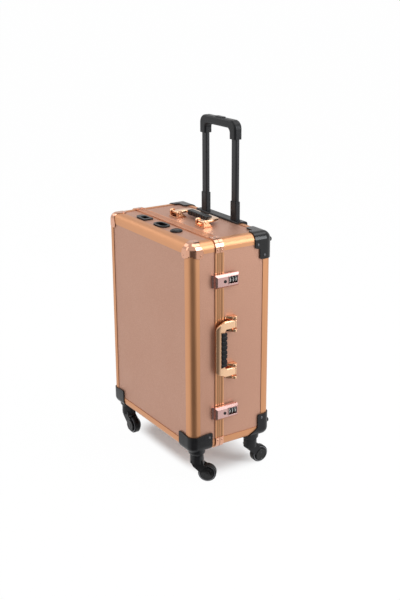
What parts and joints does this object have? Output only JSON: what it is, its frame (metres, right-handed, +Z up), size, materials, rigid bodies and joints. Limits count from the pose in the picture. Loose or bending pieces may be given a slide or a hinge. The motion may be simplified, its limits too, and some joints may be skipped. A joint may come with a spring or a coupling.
{
  "type": "makeup train case",
  "caption": "Upright rolling makeup case with a side-hinged mirror lid, combination locks, carry handles, a telescopic pull handle and swivel casters.",
  "frame": {"origin": "on the floor, under the centre of the whole object's bounding box", "axes": "+Z up; +X towards the lock side, -X the hinge side; -Y the lid, +Y the back with the pull handle"},
  "size_m": [0.449, 0.263, 0.916],
  "materials": {
    "textured_panel": "fine diamond texture, metallic rose-gold skin on board",
    "satin_gold": "satin rose-gold anodised",
    "polished_gold": "polished rose-gold plate",
    "lock_metal": "satin pink-gold plate",
    "lock_plastic": "black with white figures",
    "black_plastic": "fine-grained black",
    "black_rubber": "matt black",
    "black_tube": "satin black",
    "lining_cloth": "black, soft",
    "mirror_backing": "black, matt",
    "mirror_glass": "silvered glass",
    "lamp_diffuser": "milky white"
  },
  "bodies": {
    "body": {"body_back_panel": "textured_panel", "body_wall_panels": "textured_panel", "body_edge_profiles": "satin_gold", "body_frame": "satin_gold", "body_frame_clips": "polished_gold", "rear_corner_guards": "black_plastic", "rear_caster_brackets": "black_plastic", "rear_feet": "black_rubber", "body_lining": "lining_cloth", "storage_dividers": "lining_cloth", "hinge_body_leaves": "polished_gold", "hinge_pins": "polished_gold", "upper_lock_base": "lock_metal", "lower_lock_base": "lock_metal", "side_handle_brackets": "polished_gold", "top_handle_brackets": "polished_gold", "pull_housing": "black_plastic", "pull_outer_tubes": "black_tube"},
    "lid": {"lid_front_panel": "textured_panel", "lid_wall_panels": "textured_panel", "lid_edge_profiles": "satin_gold", "lid_frame": "satin_gold", "lid_frame_clips": "polished_gold", "lid_corner_caps": "polished_gold", "front_caster_brackets": "black_plastic", "mains_inlet": "black_plastic", "oval_socket": "black_plastic", "round_port_cap": "black_plastic", "lid_lining": "lining_cloth", "mirror_board": "mirror_backing", "mirror": "mirror_glass", "light_strips": "lamp_diffuser", "lock_strikes": "lock_metal", "hinge_lid_leaves": "polished_gold"},
    "side_handle": {"side_handle_bail": "polished_gold", "side_handle_grip": "black_plastic"},
    "top_handle": {"top_handle_bail": "polished_gold", "top_handle_grip": "black_plastic"},
    "pull_middle_stage": {"pull_middle_tubes": "black_tube"},
    "pull_inner_stage": {"pull_inner_tubes": "black_tube", "pull_grip": "black_plastic"},
    "pull_button": {"pull_button": "black_plastic"},
    "front_right_fork": {"front_right_fork": "black_plastic"},
    "front_right_wheel": {"front_right_wheel": "black_rubber"},
    "front_left_fork": {"front_left_fork": "black_plastic"},
    "front_left_wheel": {"front_left_wheel": "black_rubber"},
    "rear_right_fork": {"rear_right_fork": "black_plastic"},
    "rear_right_wheel": {"rear_right_wheel": "black_rubber"},
    "rear_left_fork": {"rear_left_fork": "black_plastic"},
    "rear_left_wheel": {"rear_left_wheel": "black_rubber"},
    "upper_lock_lever": {"upper_lock_lever": "lock_metal"},
    "upper_lock_button": {"upper_lock_button": "lock_plastic"},
    "upper_lock_dial_1": {"upper_lock_dial_1": "lock_plastic"},
    "upper_lock_dial_2": {"upper_lock_dial_2": "lock_plastic"},
    "upper_lock_dial_3": {"upper_lock_dial_3": "lock_plastic"},
    "lower_lock_lever": {"lower_lock_lever": "lock_metal"},
    "lower_lock_button": {"lower_lock_button": "lock_plastic"},
    "lower_lock_dial_1": {"lower_lock_dial_1": "lock_plastic"},
    "lower_lock_dial_2": {"lower_lock_dial_2": "lock_plastic"},
    "lower_lock_dial_3": {"lower_lock_dial_3": "lock_plastic"}
  },
  "joints": [
    {"name": "lid_hinge", "type": "hinge", "parent": "body", "child": "lid", "pos_m": [-0.2205, -0.0435, 0.37], "axis": [0, 0, -1], "range_deg": [0, 100]},
    {"name": "side_handle_pivot", "type": "hinge", "parent": "body", "child": "side_handle", "pos_m": [0.2175, -0.0049, 0.366], "axis": [0, 0, 1], "range_deg": [0, 90]},
    {"name": "top_handle_pivot", "type": "hinge", "parent": "body", "child": "top_handle", "pos_m": [-0.004, -0.0009, 0.6615], "axis": [1, 0, 0], "range_deg": [0, 90]},
    {"name": "pull_middle_slide", "type": "slide", "parent": "body", "child": "pull_middle_stage", "axis": [0, 0, 1], "range_m": [-0.05, 0.11]},
    {"name": "pull_inner_slide", "type": "slide", "parent": "pull_middle_stage", "child": "pull_inner_stage", "axis": [0, 0, 1], "range_m": [-0.16, 0]},
    {"name": "pull_button_press", "type": "slide", "parent": "pull_inner_stage", "child": "pull_button", "axis": [0, 0, -1], "range_m": [0, 0.002], "stiffness_N_per_m": 600},
    {"name": "front_right_swivel", "type": "hinge", "parent": "lid", "child": "front_right_fork", "pos_m": [0.181, -0.0975, 0.08], "axis": [0, 0, 1], "continuous": true},
    {"name": "front_right_spin", "type": "hinge", "parent": "front_right_fork", "child": "front_right_wheel", "pos_m": [0.199, -0.07605, 0.024], "axis": [-0.766, 0.6428, 0], "continuous": true},
    {"name": "front_left_swivel", "type": "hinge", "parent": "lid", "child": "front_left_fork", "pos_m": [-0.189, -0.0975, 0.08], "axis": [0, 0, 1], "continuous": true},
    {"name": "front_left_spin", "type": "hinge", "parent": "front_left_fork", "child": "front_left_wheel", "pos_m": [-0.16102, -0.09652, 0.024], "axis": [-0.0349, 0.9994, 0], "continuous": true},
    {"name": "rear_right_swivel", "type": "hinge", "parent": "body", "child": "rear_right_fork", "pos_m": [0.181, 0.0735, 0.08], "axis": [0, 0, 1], "continuous": true},
    {"name": "rear_right_spin", "type": "hinge", "parent": "rear_right_fork", "child": "rear_right_wheel", "pos_m": [0.18198, 0.10148, 0.024], "axis": [-0.9994, 0.0349, 0], "continuous": true},
    {"name": "rear_left_swivel", "type": "hinge", "parent": "body", "child": "rear_left_fork", "pos_m": [-0.189, 0.0735, 0.08], "axis": [0, 0, 1], "continuous": true},
    {"name": "rear_left_spin", "type": "hinge", "parent": "rear_left_fork", "child": "rear_left_wheel", "pos_m": [-0.175, 0.09775, 0.024], "axis": [-0.866, 0.5, 0], "continuous": true},
    {"name": "upper_lock_pivot", "type": "hinge", "parent": "body", "child": "upper_lock_lever", "pos_m": [0.212, 0.0021, 0.548], "axis": [0, 0, 1], "range_deg": [0, 80]},
    {"name": "upper_lock_button_press", "type": "slide", "parent": "upper_lock_lever", "child": "upper_lock_button", "axis": [-1, 0, 0], "range_m": [0, 0.0012], "stiffness_N_per_m": 400},
    {"name": "upper_lock_dial_1_spin", "type": "hinge", "parent": "upper_lock_lever", "child": "upper_lock_dial_1", "pos_m": [0.2155, -0.0219, 0.55], "axis": [0, 1, 0], "continuous": true},
    {"name": "upper_lock_dial_2_spin", "type": "hinge", "parent": "upper_lock_lever", "child": "upper_lock_dial_2", "pos_m": [0.2155, -0.0134, 0.55], "axis": [0, 1, 0], "continuous": true},
    {"name": "upper_lock_dial_3_spin", "type": "hinge", "parent": "upper_lock_lever", "child": "upper_lock_dial_3", "pos_m": [0.2155, -0.0049, 0.55], "axis": [0, 1, 0], "continuous": true},
    {"name": "lower_lock_pivot", "type": "hinge", "parent": "body", "child": "lower_lock_lever", "pos_m": [0.212, 0.0021, 0.192], "axis": [0, 0, 1], "range_deg": [0, 80]},
    {"name": "lower_lock_button_press", "type": "slide", "parent": "lower_lock_lever", "child": "lower_lock_button", "axis": [-1, 0, 0], "range_m": [0, 0.0012], "stiffness_N_per_m": 400},
    {"name": "lower_lock_dial_1_spin", "type": "hinge", "parent": "lower_lock_lever", "child": "lower_lock_dial_1", "pos_m": [0.2155, -0.0219, 0.194], "axis": [0, 1, 0], "continuous": true},
    {"name": "lower_lock_dial_2_spin", "type": "hinge", "parent": "lower_lock_lever", "child": "lower_lock_dial_2", "pos_m": [0.2155, -0.0134, 0.194], "axis": [0, 1, 0], "continuous": true},
    {"name": "lower_lock_dial_3_spin", "type": "hinge", "parent": "lower_lock_lever", "child": "lower_lock_dial_3", "pos_m": [0.2155, -0.0049, 0.194], "axis": [0, 1, 0], "continuous": true}
  ]
}
